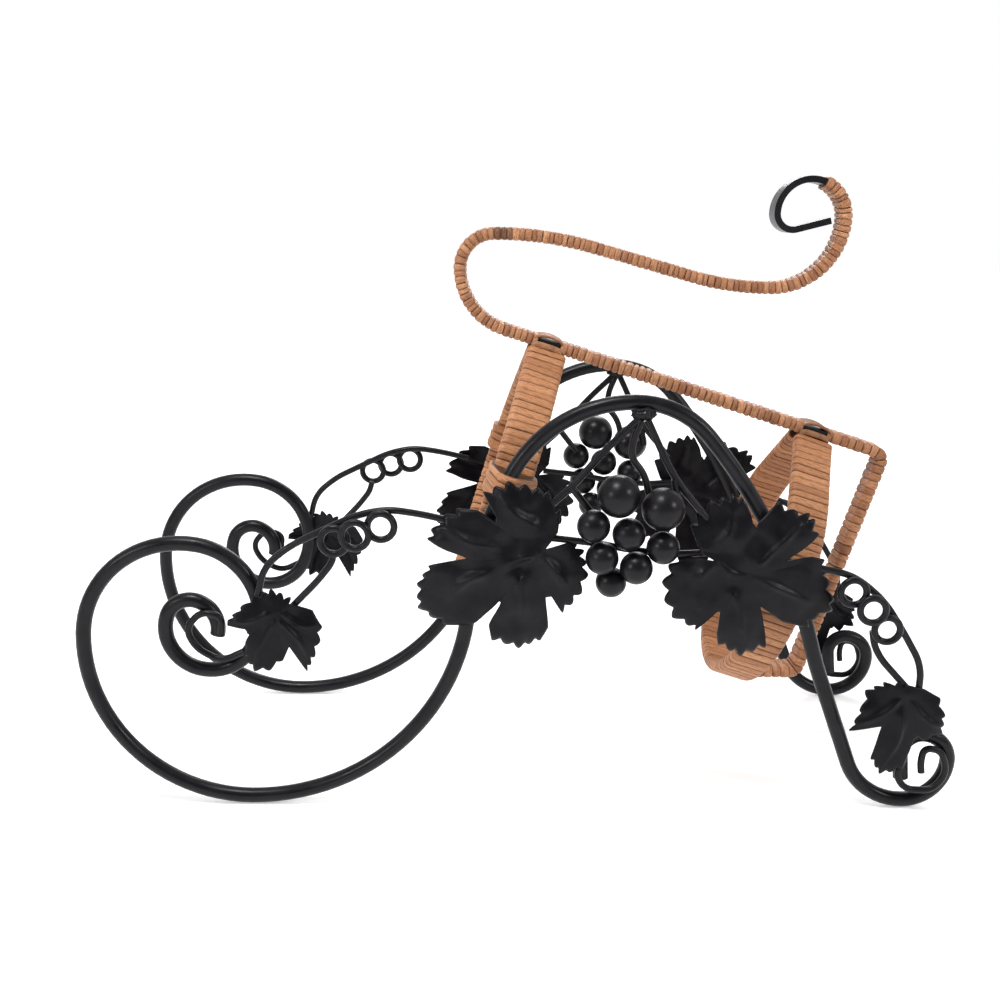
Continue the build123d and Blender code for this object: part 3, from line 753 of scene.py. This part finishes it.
def make_leaf(node, side, hub, surface, material):
    """Thin leaf blade from the points of its outer face, with the inner face below and a rim."""
    points, around, rings = surface
    sheet = len(points)
    rim = 1 + (rings - 1) * around
    vertices = []
    for drop in (0.0, LEAF_THICKNESS):
        for count, (x, z, height) in enumerate(points):
            rounding = (drop - LEAF_THICKNESS / 2) * RIM_ROUNDING if count >= rim else 0.0
            vertices.append(Vector((hub[0] + x, side * (height - drop + rounding), hub[1] + z)))
    faces = []
    for base in (0, sheet):
        flip = (base == 0) == (side < 0)
        for k in range(around):
            following = (k + 1) % around
            fan = (base, base + 1 + k, base + 1 + following)
            faces.append(fan if flip else fan[::-1])
            for ring in range(rings - 1):
                low = base + 1 + ring * around
                quad = (low + k, low + around + k, low + around + following, low + following)
                faces.append(quad if flip else quad[::-1])
    for k in range(around):
        following = (k + 1) % around
        quad = (rim + k, sheet + rim + k, sheet + rim + following, rim + following)
        faces.append(quad if side < 0 else quad[::-1])
    add_piece(node + "_blade", vertices, faces, material, (node,))


# ---------------------------------------------------------------- welds
WELD_PLACE = (42.6, WIRE_OFFSET - 0.3, 148.1)
WELD_HALF_SIZE = (4.1, 2.2, 2.3)
LUMP_HEIGHT, LUMP_SCALE = 0.32, 1.9     # heights are shares of the weld's radius
CRUMB_HEIGHT, CRUMB_SCALE = 0.16, 5.5
LUMP_SHIFT, CRUMB_SHIFT = 5.0, 3.0      # so that the two sides' welds differ


def make_weld(hand, side, material):
    """Lumpy run of weld at the top of an arch, where the fruit stalks meet the rod."""
    centre = Vector((WELD_PLACE[0], side * WELD_PLACE[1], WELD_PLACE[2]))
    rings, around = 22, 36
    vertices = []
    for ring in range(rings):
        polar = pi * (ring + 0.5) / rings
        for step in range(around):
            turn = 2 * pi * step / around
            ahead = Vector((-cos(polar), sin(polar) * cos(turn), sin(polar) * sin(turn)))
            lumps = noise.noise(ahead * LUMP_SCALE + Vector((side * LUMP_SHIFT, 0, 0)))
            crumbs = noise.noise(ahead * CRUMB_SCALE + Vector((0, side * CRUMB_SHIFT, 0)))
            swell = 1 + LUMP_HEIGHT * lumps + CRUMB_HEIGHT * crumbs
            lump = Vector([half * part * swell for half, part in zip(WELD_HALF_SIZE, ahead)])
            vertices.append(centre + lump)
    add_piece(hand + "_weld", vertices, tube_faces(rings, around), material,
              (hand + "_weld_bead",))


# ---------------------------------------------------------------- build
make_camera()
make_studio()
iron = iron_material("black_iron_paint", low_rough=0.26, high_rough=0.42, dent_scale=60.0,
                     dent_strength=0.5, shine=0.22)
sheet_iron = iron_material("black_leaf_paint", low_rough=0.28, high_rough=0.42, dent_scale=120.0,
                           dent_strength=0.6, shine=0.14)
berry_iron = iron_material("black_berry_paint", low_rough=0.28, high_rough=0.4, dent_scale=90.0,
                           dent_strength=0.5, shine=0.22)
handle_cane = cane_material("handle_cane", *HANDLE_CANE)
collar_cane = cane_material("collar_cane", *COLLAR_CANE)

for node, shown in frame["nodes"].items():
    shown.data.materials.clear()
    shown.data.materials.append(berry_iron if node.endswith("grapes") else iron)

make_collar_wraps(collar_cane)
make_handle_wraps(handle_cane)
make_crossings(handle_cane)
make_ties(collar_cane)
leaf_surfaces = {leaf_name: leaf_surface(leaf) for leaf_name, leaf in LEAVES.items()}
for hand, side in SIDES:
    make_weld(hand, side, iron)
    for leaf_name, leaf in LEAVES.items():
        make_leaf(hand + "_" + leaf_name, side, leaf.hub, leaf_surfaces[leaf_name], sheet_iron)
